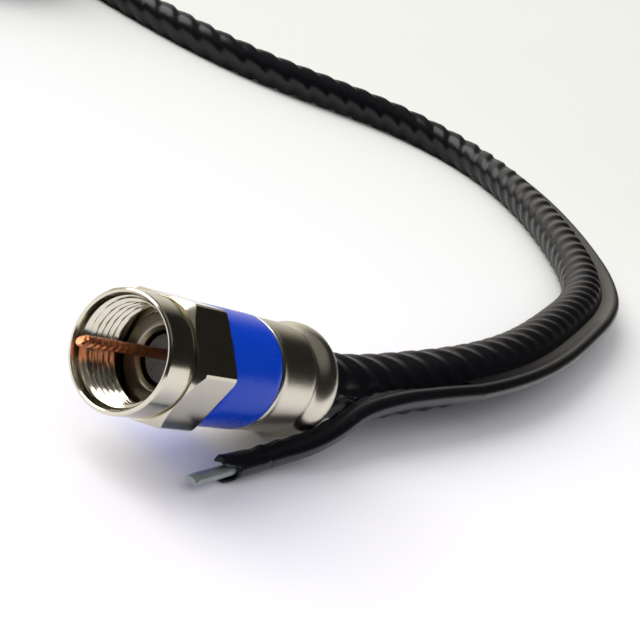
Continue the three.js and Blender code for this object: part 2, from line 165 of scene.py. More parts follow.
def smooth_line(points, step):
    """A centripetal Catmull-Rom curve through the points, with points a step apart along it."""
    points = np.array(points, float)
    before = 2 * points[0] - points[1]
    after = 2 * points[-1] - points[-2]
    padded = np.vstack((before, points, after))
    knots = np.sqrt(np.linalg.norm(np.diff(padded, axis=0), axis=1))
    share = np.linspace(0, 1, 24, endpoint=False)[:, None]
    pieces = []
    for i in range(len(points) - 1):
        p0, p1, p2, p3 = padded[i : i + 4]
        t0, t1, t2 = knots[i : i + 3]
        leave = ((p1 - p0) / t0 - (p2 - p0) / (t0 + t1) + (p2 - p1) / t1) * t1
        arrive = ((p2 - p1) / t1 - (p3 - p1) / (t1 + t2) + (p3 - p2) / t2) * t1
        cubic = 2 * p1 - 2 * p2 + leave + arrive
        square = -3 * p1 + 3 * p2 - 2 * leave - arrive
        pieces.append(((cubic * share + square) * share + leave) * share + p1)
    dense = np.vstack((*pieces, points[-1]))
    along = distances(dense)
    count = max(2, int(round(along[-1] / step)) + 1)
    return sample(dense, np.linspace(0, along[-1], count))


def distances(line):
    """The distance along a line to each of its points."""
    steps = np.linalg.norm(np.diff(line, axis=0), axis=1)
    return np.concatenate(([0], np.cumsum(steps)))


def sample(values, at, along=None):
    """The values at the given distances, with a straight change between their own."""
    along = distances(values) if along is None else along
    return np.stack([np.interp(at, along, values[:, k]) for k in range(3)], axis=-1)


def level_frames(line):
    """Each point's direction to the right of travel, level, and the one square to it, upwards."""
    tangent = np.gradient(line, axis=0)
    tangent /= np.linalg.norm(tangent, axis=1, keepdims=True)
    right = np.stack((tangent[:, 1], -tangent[:, 0], np.zeros(len(line))), axis=1)
    right /= np.linalg.norm(right, axis=1, keepdims=True)
    return right, np.cross(right, tangent)


def carried(line, along, across, upward):
    """Points carried along a line: at a distance along it, moved across and upward in its frame.

    All three are arrays of one shape, or of shapes that spread to one.
    """
    right, up = level_frames(line)
    measure = distances(line)
    along, across, upward = np.broadcast_arrays(along, across, upward)
    middle = sample(line, along, measure)
    return (
        middle
        + across[..., None] * sample(right, along, measure)
        + upward[..., None] * sample(up, along, measure)
    )


def ease(value, low, high):
    """Nought below low, one above high, and a smooth S between."""
    share = np.clip((value - low) / (high - low), 0, 1)
    return share * share * (3 - 2 * share)


class Surface:
    """A closed grid of points: its columns run round, and its ends are fans or meet each other."""

    def __init__(self, points, along, around=None, ring=False):
        rows, columns = points.shape[:2]
        along = np.broadcast_to(np.asarray(along, float).reshape(rows, -1), (rows, columns))
        around = np.linspace(0, 1, columns + 1) if around is None else around
        row = np.arange(rows if ring else rows - 1)[:, None]
        column = np.arange(columns)[None, :]
        next_row = (row + 1) % rows
        next_column = (column + 1) % columns
        corners = ((row, column), (row, next_column), (next_row, next_column), (next_row, column))
        self.points = points.reshape(-1, 3)
        self.quads = np.stack(
            [np.broadcast_to(r * columns + c, (len(row), columns)) for r, c in corners], axis=-1
        ).reshape(-1, 4)
        lengths = [along[r, c] for r, c in corners]
        turns = [np.broadcast_to(around[column + extra], (len(row), columns)) for extra in (0, 1, 1, 0)]
        self.quad_uv = np.stack((np.stack(lengths, -1), np.stack(turns, -1)), -1).reshape(-1, 4, 2)
        self.triangles = np.zeros((0, 3), int)
        self.triangle_uv = np.zeros((0, 3, 2))
        if not ring:
            self.close_end(0, columns, along, around, False)
            self.close_end(rows - 1, columns, along, around, True)
        self.face_outwards()

    def close_end(self, row, columns, along, around, last):
        """A fan from the end row's middle to its edge."""
        edge = row * columns + np.arange(columns)
        beside = row * columns + (np.arange(columns) + 1) % columns
        hub = len(self.points)
        middle = self.points[edge].mean(axis=0)
        self.points = np.vstack((self.points, middle))
        order = (edge, beside) if last else (beside, edge)
        fan = np.stack((*order, np.full(columns, hub)), axis=1)
        turn = np.stack((around[:-1], around[1:]) if last else (around[1:], around[:-1]), axis=1)
        turn = np.concatenate((turn, turn.mean(axis=1, keepdims=True)), axis=1)
        length = np.full((columns, 3), along[row].mean())
        self.triangles = np.vstack((self.triangles, fan))
        self.triangle_uv = np.concatenate((self.triangle_uv, np.stack((length, turn), -1)))

    def face_outwards(self):
        """Turns every face round if the volume that they close is negative."""
        corner = self.points[self.quads]
        volume = np.einsum("ij,ij->", corner[:, 0], np.cross(corner[:, 1], corner[:, 2]))
        volume += np.einsum("ij,ij->", corner[:, 0], np.cross(corner[:, 2], corner[:, 3]))
        corner = self.points[self.triangles]
        volume += np.einsum("ij,ij->", corner[:, 0], np.cross(corner[:, 1], corner[:, 2]))
        if volume < 0:
            self.quads = self.quads[:, ::-1]
            self.quad_uv = self.quad_uv[:, ::-1]
            self.triangles = self.triangles[:, ::-1]
            self.triangle_uv = self.triangle_uv[:, ::-1]


def make_piece(name, surfaces, material, body, replaced=(), sharp=30):
    """One object from closed surfaces, with a map of lengths along and turns around."""
    points, quads, quad_uv, triangles, triangle_uv = [], [], [], [], []
    count = 0
    for surface in surfaces:
        points.append(surface.points)
        quads.append(surface.quads + count)
        quad_uv.append(surface.quad_uv)
        triangles.append(surface.triangles + count)
        triangle_uv.append(surface.triangle_uv)
        count += len(surface.points)
    quads, triangles = np.vstack(quads), np.vstack(triangles)
    loops = np.concatenate((quads.ravel(), triangles.ravel()))
    starts = np.concatenate(
        (np.arange(len(quads)) * 4, quads.size + np.arange(len(triangles)) * 3)
    )
    uv = np.concatenate(
        (np.concatenate(quad_uv).reshape(-1, 2), np.concatenate(triangle_uv).reshape(-1, 2))
    )
    mesh = bpy.data.meshes.new(name)
    mesh.vertices.add(count)
    mesh.vertices.foreach_set("co", np.vstack(points).astype(np.float32).ravel())
    mesh.loops.add(len(loops))
    mesh.loops.foreach_set("vertex_index", loops.astype(np.int32))
    mesh.polygons.add(len(starts))
    mesh.polygons.foreach_set("loop_start", starts.astype(np.int32))
    mesh.update(calc_edges=True)
    mesh.validate()
    layer = mesh.uv_layers.new(name="lengthwise")
    layer.data.foreach_set("uv", uv.astype(np.float32).ravel())
    mesh.polygons.foreach_set("use_smooth", np.ones(len(starts), bool))
    mesh.set_sharp_from_angle(angle=math.radians(sharp))
    mesh.materials.append(material)
    piece = bpy.data.objects.new(name, mesh)
    bpy.context.scene.collection.objects.link(piece)
    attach(piece, body)
    if replaced:
        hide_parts(*replaced)
    return piece


# The lie of the plugs and the cable


class Plug:
    """Where a plug is: the middle of its rim, its axis, and its near and upper sides."""

    def __init__(self, prefix, joint_name, corner_angle):
        joint = next(joint for joint in frame["joints"] if joint["name"] == joint_name)
        self.prefix = prefix
        self.body = joint["child"]
        self.corner_angle = corner_angle
        self.rearward = -np.array(joint["axis"], float)
        self.rearward /= np.linalg.norm(self.rearward)
        mesh = frame["nodes"][f"{prefix}_sleeve"].data
        points = np.zeros(len(mesh.vertices) * 3)
        mesh.vertices.foreach_get("co", points)
        reach = (points.reshape(-1, 3) @ self.rearward).max()
        on_axis = np.array(joint["pos_m"], float)
        self.rear = on_axis + self.rearward * (reach - on_axis @ self.rearward)
        self.rim = self.rear - self.rearward * PLUG_LENGTH
        side = np.cross(self.rearward, (0, 0, 1))
        self.side = side / np.linalg.norm(side)
        self.upper = np.cross(self.side, self.rearward)

    def place(self, along, radius, angle):
        """Points at a distance along the axis and out from it, by the angle from the side, upwards."""
        along, radius, angle = np.broadcast_arrays(along, radius, angle)
        return (
            self.rim
            + along[..., None] * self.rearward
            + (radius * np.cos(angle))[..., None] * self.side
            + (radius * np.sin(angle))[..., None] * self.upper
        )


def near_plug():
    """The plug in front, with the corners of its nut turned as in the photo."""
    return Plug("plug_a", "near_nut_turn", NEAR_CORNER_ANGLE)


def far_plug():
    """The plug that lies on the coil."""
    return Plug("plug_b", "far_nut_turn", 0.0)


def coil_point(angle, radius, height):
    """A point of the coil: its angle round the centre, in radians, its radius and its height."""
    angle, radius, height = np.broadcast_arrays(angle, radius, height)
    return np.stack(
        (
            COIL_CENTRE[0] + radius * np.cos(angle),
            COIL_CENTRE[1] + radius * np.sin(angle),
            height,
        ),
        axis=-1,
    )


def coil_turns(last):
    """Points of the coax centre round the coil, up to the angle last, in degrees.

    The cable starts in the outer lane, steps in, climbs, steps out over itself, climbs again and
    comes to lie on the top.
    """
    angle = np.arange(0, last, COIL_STEP)
    inward = ease(angle, *STEP_IN) - ease(angle, *STEP_OUT)
    radius = OUTER_LANE + (INNER_LANE - OUTER_LANE) * inward
    radius = radius + (TAIL_LANE - OUTER_LANE) * ease(angle, *STEP_TO_TAIL)
    height = LOWER_LAYER + (UPPER_LAYER - LOWER_LAYER) * ease(angle, *FIRST_CLIMB)
    height = height + (TAIL_HEIGHT - UPPER_LAYER) * ease(angle, *SECOND_CLIMB)
    return coil_point(np.radians(angle), radius, height)


def cable_line():
    """The whole coax centre line, from inside the near plug's sleeve to inside the far one's."""
    near, far = near_plug(), far_plug()
    start = [near.rear - near.rearward * LEG_INSET, near.rear + near.rearward * RUNNING_GAP]
    start = np.array(start) - SHIFT
    far_rear = far.rear - SHIFT
    rear_angle = math.atan2(far_rear[1] - COIL_CENTRE[1], far_rear[0] - COIL_CENTRE[0]) % TURN
    rear_angle += 4 * TURN
    plug_height = far_rear[2]
    drop = plug_height - TAIL_HEIGHT
    turns_end = rear_angle - (FAR_LEG + 6 * MM) / TAIL_LANE
    turns = coil_turns(math.degrees(turns_end))
    back = np.array((20, 13, 6)) * MM
    rise = np.array((0.15, 0.5, 0.8)) * drop
    climb = coil_point(rear_angle - back / TAIL_LANE, TAIL_LANE, TAIL_HEIGHT + rise)
    end = [far_rear + far.rearward * RUNNING_GAP, far_rear - far.rearward * LEG_INSET]
    points = np.vstack((start, LEAD_ROUTE, turns, climb, end))
    return smooth_line(points, 1 * MM) + SHIFT


def ground_beside(line, at):
    """The ground wire's centre beside the coax line, at a distance along it."""
    across = GROUND_OFFSET * math.cos(GROUND_RISE)
    upward = GROUND_OFFSET * math.sin(GROUND_RISE)
    return carried(line, np.array([at]), np.array([across]), np.array([upward]))[0]


# The cable's surfaces


def ridges(along, angle, height, pitch, starts):
    """Slanting ridges: a rounded saw wave of the length along plus a share of the turn."""
    phase = TURN * (along / pitch + starts * angle / TURN)
    return height * (np.sin(phase) + 0.35 * np.sin(2 * phase + 0.6))


def angle_between(angle, middle):
    """How far each angle is from a middle one, the short way round."""
    return np.abs((angle - middle + math.pi) % TURN - math.pi)


def flat_cable(line, along, look):
    """The jacket over coax and ground wire: two arcs joined by the web, carried along the line.

    The coax arc's radius has ridges, which fade out towards the web. The plain strip that this
    leaves is narrow at both ends, to meet the round legs, and widens over the fade length.
    """
    half_web = WEB_THICKNESS / 2
    open_coax = math.asin(half_web / COAX_RADIUS) + 0.10
    open_ground = math.pi - math.asin(half_web / GROUND_RADIUS) - 0.25
    coax_angle = np.linspace(open_coax, TURN - open_coax, 28)[None, :]
    ground_angle = np.linspace(-open_ground, open_ground, 10)[None, :]
    away = np.minimum(coax_angle, TURN - coax_angle)
    begun = ease(along, along[0], along[0] + FADE_LENGTH)
    ended = ease(along, along[-1] - FADE_LENGTH, along[-1])
    wide = np.maximum(begun - ended, 0)[:, None]
    low = math.radians(12) + wide * math.radians(16)
    high = math.radians(30) + wide * math.radians(32)
    fade = ease(away, low, high)
    bump = ridges(along[:, None], coax_angle, look.ridge_height, look.ridge_pitch, look.ridge_starts)
    radius = COAX_RADIUS + fade * bump
    spread = np.ones_like(along)[:, None]
    ground_u = GROUND_OFFSET + GROUND_RADIUS * np.cos(ground_angle)
    ground_v = GROUND_RADIUS * np.sin(ground_angle)
    u = np.hstack((radius * np.cos(coax_angle), spread * ground_u))
    v = np.hstack((radius * np.sin(coax_angle), spread * ground_v))
    across = u * math.cos(GROUND_RISE) - v * math.sin(GROUND_RISE)
    upward = u * math.sin(GROUND_RISE) + v * math.cos(GROUND_RISE)
    return Surface(carried(line, along[:, None], across, upward), along)


def round_leg(line, along, look, fin):
    """The coax leg: a ridged round jacket, with the torn web standing on it as a ragged fin."""
    fin_angles = np.radians((-9, -5, -2, 2, 5, 9))
    plain = np.linspace(math.radians(15), TURN - math.radians(15), 34)
    angle = np.concatenate((fin_angles, plain))[None, :]
    away = angle_between(angle, 0.0)
    bump = ridges(along[:, None], angle, look.ridge_height, look.ridge_pitch, look.ridge_starts)
    fade = ease(away, math.radians(12), math.radians(30))
    tear = 1 + 0.25 * np.sin(along * 2900) + 0.2 * np.sin(along * 6300 + 1)
    stands = fin * tear[:, None] * (1 - ease(away, math.radians(3), math.radians(7)))
    radius = COAX_RADIUS + fade * bump + stands
    around = angle + GROUND_RISE
    return Surface(carried(line, along[:, None], radius * np.cos(around), radius * np.sin(around)), along)


def ground_jacket(line, length, near):
    """The ground wire's torn-off jacket: outside, ragged mouth and the inside of the mouth.

    The radius is that of the tube plus a fin of torn web, and the mouth reaches further where its
    two petals are. A shallow cut runs round the tube behind the mouth.
    """
    angle = np.linspace(0, TURN, 40, endpoint=False)[None, :]
    fine_start = length - 8 * MM
    outside = np.concatenate((np.arange(0, fine_start, 0.8 * MM), np.linspace(fine_start, length, 40)))
    at = outside[:, None]
    turn_out = ease(at, 0, length)
    fin_middle = -GROUND_RISE + turn_out * math.radians(88) if near else -GROUND_RISE + 0 * at
    off_fin = angle_between(angle, fin_middle)
    fin = 0.42 * MM * (1 - ease(off_fin, math.radians(8), math.radians(30)))
    fin = fin * (1 + 0.15 * np.sin(at * 2300))
    upper_petal = 1 - ease(angle_between(angle, math.radians(78)), 0.5, 1.1)
    lower_petal = 1 - ease(angle_between(angle, -math.radians(100)), 0.3, 0.8)
    reach = (2.3 * upper_petal + 1.5 * lower_petal) * MM
    open_out = ease(at, length - 2 * MM, length)
    cut = 0.09 * MM * np.exp(-(((at - (length - 5.2 * MM)) / (0.16 * MM)) ** 2))
    radius = GROUND_RADIUS + fin - cut + open_out * 0.3 * MM * upper_petal
    rounding = 0.12 * MM * ease(at, length - 0.15 * MM, length)
    edge = radius - rounding
    outer = carried(line, at + open_out * reach, edge * np.cos(angle), edge * np.sin(angle))
    inside = np.linspace(length, length - 3.5 * MM, 16)[:, None]
    flare = ease(inside, length - 2 * MM, length)
    hollow = 0.66 * MM + flare * (0.12 + 0.3 * upper_petal) * MM
    inner = carried(line, inside + flare * reach, hollow * np.cos(angle), hollow * np.sin(angle))
    along = np.concatenate((outside, 2 * length - inside[:, 0]))
    return Surface(np.vstack((outer, inner)), along)


def bare_wire(line, start, end):
    """The drawn wire: a round bar whose last stretch is pinched flat by the cutters."""
    angle = np.linspace(0, TURN, 20, endpoint=False)[None, :]
    along = np.concatenate((np.linspace(start, end - 1 * MM, 30), np.linspace(end - 0.95 * MM, end, 12)))
    pinch = ease(along, end - 0.55 * MM, end)[:, None]
    across = WIRE_RADIUS * (1 + 0.04 * pinch) * np.cos(angle)
    upward = WIRE_RADIUS * (1 - 0.5 * pinch) * np.sin(angle)
    return Surface(carried(line, along[:, None], across, upward), along)


# The plug's surfaces


def turned(plug, outline, around=96):
    """A turned solid: an outline of (distance, radius) points in millimetres, carried round."""
    outline = np.array(outline, float) * MM
    angle = np.linspace(0, TURN, around, endpoint=False)[None, :]
    points = plug.place(outline[:, :1], outline[:, 1:], angle)
    return Surface(points, distances(np.pad(outline, ((0, 0), (0, 1)))), ring=True)


def nut_surface(plug):
    """The coupling nut: rows of (distance, radius) that depend on the angle.

    The hexagon's radius is half its flats over the cosine of the angle from the nearest flat. The
    front chamfer is a cone, and each column meets it where the two are equal. The thread is a
    wave of the distance over the pitch less the share of the turn.
    """
    corner_cut = 1.3
    plain = np.arange(0, 360, 3.0)
    corners = np.arange(0, 360, 60.0)
    degrees = np.unique(np.concatenate((plain, corners - corner_cut, corners + corner_cut)) % 360)
    angle = np.radians(degrees)
    from_flat = np.radians((degrees % 60) - 30)
    half_flats = FLATS / 2 / MM
    at_corner = half_flats / math.cos(math.radians(30 - corner_cut))
    hexagon = np.minimum(half_flats / np.cos(from_flat), at_corner)
    flat = np.ones_like(angle)

    def level(*places):
        """Rows that are the same all round, from their distances and radii."""
        return [(s * flat, r * flat) for s, r in places]

    collar, bore, bevel, thread_depth = 5.45, 4.80, 6.1, 0.40
    hex_start, cone_start, length = 3.6, 5.58, NUT_LENGTH / MM
    cone_meets = hex_start + np.maximum(hexagon - cone_start, 0.02)
    bevel_meets = length - np.maximum(hexagon - bevel, 0.06)
    rows = level((0.0, 5.12), (0.0, 5.22), (0.06, 5.36))
    rows += level(*((s, collar) for s in (0.2, 0.3, 1.0, 2.0, 3.0, 3.2)))
    rows += level((3.28, 5.40), (3.32, 5.22), (3.55, 5.22))
    rows += level((hex_start, 5.26), (hex_start, cone_start - 0.03))
    for share in (0.0, 0.2, 0.4, 0.6, 0.8, 1.0):
        s = hex_start + (cone_meets - hex_start) * share
        rows.append((s, np.minimum(hexagon, cone_start + (s - hex_start))))
    for share in (0.02, 0.25, 0.5, 0.75, 0.98, 1.0):
        rows.append((cone_meets + (bevel_meets - cone_meets) * share, hexagon))
    rows.append((length * flat, np.minimum(hexagon, bevel) - 0.02))
    rows += level((length, 4.5), (length, 3.3), (7.65, 3.3), (7.6, 3.4), (7.6, 4.76))
    rows += level(*((s, bore) for s in (7.5, 6.6, 6.0)))
    pitch, first, last = 25.4 / 32, 0.9, 5.75
    for s in np.arange(last, first - 0.001, -0.06):
        wave = np.abs(((s / pitch - angle / TURN) % 1.0) * 2 - 1)
        tooth = np.clip((wave - 0.12) / 0.68, 0, 1)
        depth = thread_depth * min(1.0, (last - s) / 0.3, (s - first) / 0.5 + 0.05)
        rows.append((s * flat, bore - depth * tooth))
    rows += level((0.85, 4.86), (0.5, 4.9), (0.3, 4.93), (0.1, 5.02))
    along = np.array([row[0] for row in rows]) * MM
    radius = np.array([row[1] for row in rows]) * MM
    points = plug.place(along, radius, angle[None, :] + plug.corner_angle)
    around = np.append(degrees / 360, 1 + degrees[0] / 360)
    return Surface(points, along, around, ring=True)


def post_surface(plug):
    """The post: its flange inside the nut, and the barrel under the braid."""
    front = 6.2
    outline = [(front + 0.4, 2.62), (front + 0.12, 2.86), (front + 0.02, 3.0), (front, 3.1)]
    outline += [(front, 3.5), (front, 4.1), (front + 0.08, 4.22), (front + 0.2, 4.25)]
    outline += [(front + 1.0, 4.25), (front + 1.1, 4.2), (front + 1.1, 3.0), (24.0, 3.0), (24.0, 2.6)]
    return turned(plug, outline)


def body_surface(plug):
    """The body: a plain tube behind the nut, with rounded rims."""
    outline = [(9.55, 3.3), (9.55, 4.7), (9.65, 4.85), (9.8, 4.89)]
    outline += [(23.8, 4.89), (24.0, 4.8), (24.0, 3.3)]
    return turned(plug, outline)


def band_surface(plug):
    """The colour band: a thin tube with softly rounded rims."""
    outline = [(9.55, 5.2), (9.55, 5.42), (9.60, 5.50), (9.70, 5.54), (10.5, 5.55), (13.5, 5.56)]
    outline += [(16.8, 5.55), (17.45, 5.54), (17.55, 5.50), (17.6, 5.42), (17.6, 5.2)]
    return turned(plug, outline, around=128)


def sleeve_surface(plug):
    """The compression sleeve: straight, then a groove and the rounded bulge, closed on the cable."""
    outline = [(17.9, 5.2), (17.9, 5.38), (17.96, 5.48), (18.08, 5.52), (18.25, 5.5), (18.4, 5.45)]
    outline += [(s, 5.45) for s in (19, 20.5, 22, 23.2, 23.7)]
    outline += [(23.95, 5.42), (24.2, 5.30), (24.45, 5.12), (24.7, 5.03), (25.0, 5.01), (25.25, 5.06)]
    outline += [(25.5, 5.22), (25.8, 5.48), (26.15, 5.69), (26.6, 5.82), (27.1, 5.85), (27.6, 5.79)]
    outline += [(28.1, 5.61), (28.5, 5.33), (28.8, 5.02), (28.93, 4.75), (28.96, 4.5), (28.96, 4.1)]
    outline += [(28.9, 3.85), (28.7, 3.75), (24.5, 3.75), (24.32, 3.9), (24.3, 5.2)]
    return turned(plug, outline, around=128)


def insulator_surface(plug):
    """The foam insulator's cut end, slightly dished, and its length inside the barrel."""
    outline = [(6.86, 0.0), (6.84, 0.6), (6.80, 1.2), (6.78, 1.9), (6.82, 2.2), (6.92, 2.3)]
    outline += [(24.0, 2.3), (24.0, 0.0)]
    return turned(plug, outline, around=48)


def conductor_surface(plug, offset):
    """The pin: a round bar with a slanting, narrowed tip, and a nick inside the nut.

    Its tool marks are a wave of the distance less the angle, and fade out where it enters the nut.
    """
    tip_rows = np.linspace(-5.0, -4.6, 6)
    along = np.concatenate((tip_rows, np.arange(-4.5, 7.0, 0.11), (8.0, 16.0, 24.0)))[:, None]
    angle = np.linspace(0, TURN, 24, endpoint=False)[None, :]
    mark = np.clip(np.sin(TURN * along / 0.88 - angle) * 1.3, 0, 1) ** 2
    marked = 1 - ease(along, 1.2, 2.6)
    nick = np.exp(-(((along - 4.0) / 0.25) ** 2))
    tip = 1 - 0.30 * (1 - ease(along, -5.0, -4.8))
    radius = (0.51 - 0.10 * marked * mark - 0.06 * nick) * tip
    lift = offset * (1 - ease(along, 7.0, 20.0))
    slant = 0.30 * (1 - ease(along, -5.0, -3.9)) * np.sin(angle)
    points = plug.place((along + slant) * MM, radius * MM, angle)
    shifted = points + lift[..., None] * (0.45 * -plug.side + 0.89 * plug.upper)
    return Surface(shifted, along[:, 0] * MM)


# The tie's surfaces


def signed_power(value, power):
    """A value's size raised to a power, with the value's own sign."""
    return np.sign(value) * np.abs(value) ** power


def tie_surfaces():
    """The strap, its head and its cut end.

    The strap is a flat section carried round a rectangle with soft corners, which is a circle's
    cosine and sine, each raised to a small power. The head and the cut end are rounded boxes.
    """
    low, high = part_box("coil_tie")
    low, high = np.array(low) - SHIFT, np.array(high) - SHIFT
    middle = (low + high)[:2] / 2 - COIL_CENTRE
    angle = math.atan2(middle[1], middle[0])
    outward = np.array((math.cos(angle), math.sin(angle), 0))
    tangent = np.array((-math.sin(angle), math.cos(angle), 0))
    centre = np.array((*COIL_CENTRE, 0)) + outward * TIE_MIDDLE
    half_width, top, thick, strap = 11.4 * MM, 15.15 * MM, 0.9 * MM, 4.6 * MM
    corner_power = 0.22
    turn = np.linspace(0, TURN, 72, endpoint=False)
    reach = signed_power(np.cos(turn), corner_power)
    lift = signed_power(np.sin(turn), corner_power)
    path = np.stack((half_width * reach, top / 2 + (top / 2 - 0.02 * MM) * lift), axis=1)
    inward = np.stack((-reach, -lift), axis=1)
    section = [(0.0, -0.46), (0.0, -0.2), (0.04, 0.0), (0.0, 0.2), (0.0, 0.46), (0.15, 0.5), (0.85, 0.5)]
    section += [(1.0, 0.46), (1.0, -0.46), (0.85, -0.5), (0.15, -0.5)]
    section = np.array(section)
    x = path[:, None, 0] + inward[:, None, 0] * section[None, :, 0] * thick
    z = path[:, None, 1] + inward[:, None, 1] * section[None, :, 0] * thick
    y = np.broadcast_to(section[None, :, 1] * strap, x.shape)
    band = centre + x[..., None] * outward + y[..., None] * tangent + z[..., None] * np.array((0, 0, 1))
    band = band + SHIFT
    surfaces = [Surface(band, distances(np.pad(path, ((0, 0), (0, 1)))), ring=True)]
    head = ((13.3, 0, 7.0), (2.1, 3.1, 2.8))
    cut_end = ((18.0, 0, 7.0), (3.2, 2.2, 0.42))
    for place, half in (head, cut_end):
        surfaces.append(rounded_box(centre + SHIFT, outward, tangent, place, half))
    return surfaces


def rounded_box(centre, outward, tangent, place, half):
    """A box with soft edges: a sphere's directions, each raised to a small power."""
    latitude = np.linspace(-math.pi / 2, math.pi / 2, 25)[1:-1, None]
    longitude = np.linspace(0, TURN, 40, endpoint=False)[None, :]
    edge_power = 0.3
    flat_reach = signed_power(np.cos(latitude), edge_power)
    x = flat_reach * signed_power(np.cos(longitude), edge_power) * half[0] + place[0]
    y = flat_reach * signed_power(np.sin(longitude), edge_power) * half[1] + place[1]
    z = signed_power(np.sin(latitude), edge_power) * half[2] + place[2] + 0 * longitude
    points = x[..., None] * outward + y[..., None] * tangent + z[..., None] * np.array((0, 0, 1))
    return Surface(centre + points * MM, latitude[:, 0] * MM)


# Materials


class Wire:
    """A shader socket that takes part in sums, so that an expression adds its Math nodes."""

    def __init__(self, nodes, socket):
        self.nodes = nodes
        self.socket = socket

    def math(self, operation, *values):
        return self.nodes.add("ShaderNodeMath", {"operation": operation}, dict(enumerate(values)))

    def __add__(self, other):
        return self.math("ADD", self, other)

    def __radd__(self, other):
        return self.math("ADD", other, self)

    def __sub__(self, other):
        return self.math("SUBTRACT", self, other)

    def __rsub__(self, other):
        return self.math("SUBTRACT", other, self)

    def __mul__(self, other):
        return self.math("MULTIPLY", self, other)

    def __rmul__(self, other):
        return self.math("MULTIPLY", other, self)


class Nodes:
    """A material's or a world's node tree, with one method that adds any node."""

    def __init__(self, owner):
        owner.use_nodes = True
        self.tree = owner.node_tree
        self.tree.nodes.clear()

    def add(self, kind, settings=None, inputs=None, output=0):
        """A node of a kind: its settings first, then the values or links of its sockets."""
        node = self.tree.nodes.new(kind)
        for name, value in (settings or {}).items():
            setattr(node, name, value)
        for name, value in (inputs or {}).items():
            if isinstance(value, Wire):
                self.tree.links.new(value.socket, node.inputs[name])
            else:
                node.inputs[name].default_value = value
        return Wire(self, node.outputs[output]) if node.outputs else node

    def part(self, wire, name):
        """Another output of the node that a wire comes from."""
        return Wire(self, wire.socket.node.outputs[name])

    def noise(self, vector, scale, detail=3.0, roughness=0.55):
        inputs = {"Vector": vector, "Scale": scale, "Detail": detail, "Roughness": roughness}
        return self.add("ShaderNodeTexNoise", {}, inputs)

    def steps(self, value, low, high):
        return self.add(
            "ShaderNodeMapRange",
            {"interpolation_type": "SMOOTHSTEP"},
            {"Value": value, "From Min": low, "From Max": high, "To Min": 0.0, "To Max": 1.0},
        )

    def blend(self, factor, first, second):
        inputs = {0: factor, 6: first, 7: second}
        return self.add("ShaderNodeMix", {"data_type": "RGBA"}, inputs, output=2)

    def objects(self):
        coordinates = self.add("ShaderNodeTexCoord")
        return self.part(coordinates, "Object")

    def lengthwise(self):
        """The length along a piece, in metres, and the share of the turn round it."""
        uv = self.add("ShaderNodeUVMap", {"uv_map": "lengthwise"})
        split = self.add("ShaderNodeSeparateXYZ", {}, {"Vector": uv})
        return split, self.part(split, "Y")

    def rings(self, fineness, waver):
        """Fine marks that run round a piece: noise of the length, and of the turn as a circle."""
        along, turn = self.lengthwise()
        angle = turn * TURN
        across = angle.math("COSINE", angle) * waver
        upward = angle.math("SINE", angle) * waver
        inputs = {"X": along * fineness, "Y": across, "Z": upward}
        vector = self.add("ShaderNodeCombineXYZ", {}, inputs)
        return self.noise(vector, 1.0, 4.0, 0.7)

    def bump(self, height, strength, distance):
        inputs = {"Height": height, "Strength": strength, "Distance": distance}
        return self.add("ShaderNodeBump", {}, inputs)

    def surface(self, inputs):
        shader = self.add("ShaderNodeBsdfPrincipled", {}, inputs)
        self.add("ShaderNodeOutputMaterial", {}, {"Surface": shader})


def finish(name):
    """A new material, and its emptied node tree."""
    material = bpy.data.materials.new(name)
    return material, Nodes(material)


def jacket_finish(look):
    """Black extruded jacket: fine grain, faint dust, gloss that comes and goes along it."""
    material, nodes = finish("black_jacket")
    place = nodes.objects()
    cloud = nodes.noise(place, 60.0, 3.0)
    grain = nodes.noise(place, 2600.0, 2.0)
    dust = nodes.steps(nodes.noise(place, 900.0, 4.0, 0.8), 0.66, 0.78)
    lighter = tuple(1.5 * c for c in look.jacket_colour)
    colour = nodes.blend(cloud, (*look.jacket_colour, 1), (*lighter, 1))
    nodes.surface(
        {
            "Base Color": nodes.blend(dust * 0.35, colour, (0.12, 0.12, 0.125, 1)),
            "Roughness": cloud * 0.10 + grain * 0.05 + look.jacket_roughness,
            "Specular IOR Level": 0.4,
            "Normal": nodes.bump(grain + cloud * 0.6, 0.12, 0.0002),
        }
    )
    return material


def plated_finish(name, plate, rough, marks, strength):
    """Plated metal: a bright plate colour with fine turned marks round it, and small pits."""
    material, nodes = finish(name)
    lines = nodes.rings(marks, 0.6)
    place = nodes.objects()
    cloud = nodes.noise(place, 220.0, 3.0)
    pits = nodes.steps(nodes.noise(place, 2600.0, 2.0), 0.70, 0.76)
    darker = tuple(0.80 * c for c in plate)
    tint = nodes.blend(cloud, (*darker, 1), (*plate, 1))
    nodes.surface(
        {
            "Base Color": nodes.blend(pits * 0.5, tint, (0.30, 0.27, 0.23, 1)),
            "Metallic": 1.0,
            "Roughness": lines * 0.10 + cloud * 0.05 + rough,
            "Normal": nodes.bump(lines + pits * -0.8, strength, 0.00005),
        }
    )
    return material


def band_finish(look):
    """Glossy blue plastic with hairline scuffs and a few worn patches."""
    material, nodes = finish("blue_band")
    place = nodes.objects()
    squeezed = nodes.add("ShaderNodeMapping", {}, {"Vector": place, "Scale": (1.0, 1.0, 7.0)})
    scuff = nodes.noise(squeezed, 500.0, 5.0, 0.75)
    patch = nodes.steps(nodes.noise(place, 260.0, 2.0), 0.52, 0.66)
    worn = nodes.steps(scuff, 0.56, 0.70) * patch
    light = tuple(min(1.0, 1.25 * c + 0.02) for c in look.band_colour)
    nodes.surface(
        {
            "Base Color": nodes.blend(worn * 0.5, (*look.band_colour, 1), (*light, 1)),
            "Roughness": worn * 0.30 + 0.24,
            "Specular IOR Level": 0.2,
            "Normal": nodes.bump(scuff + patch * 0.4, 0.10, 0.00008),
        }
    )
    return material


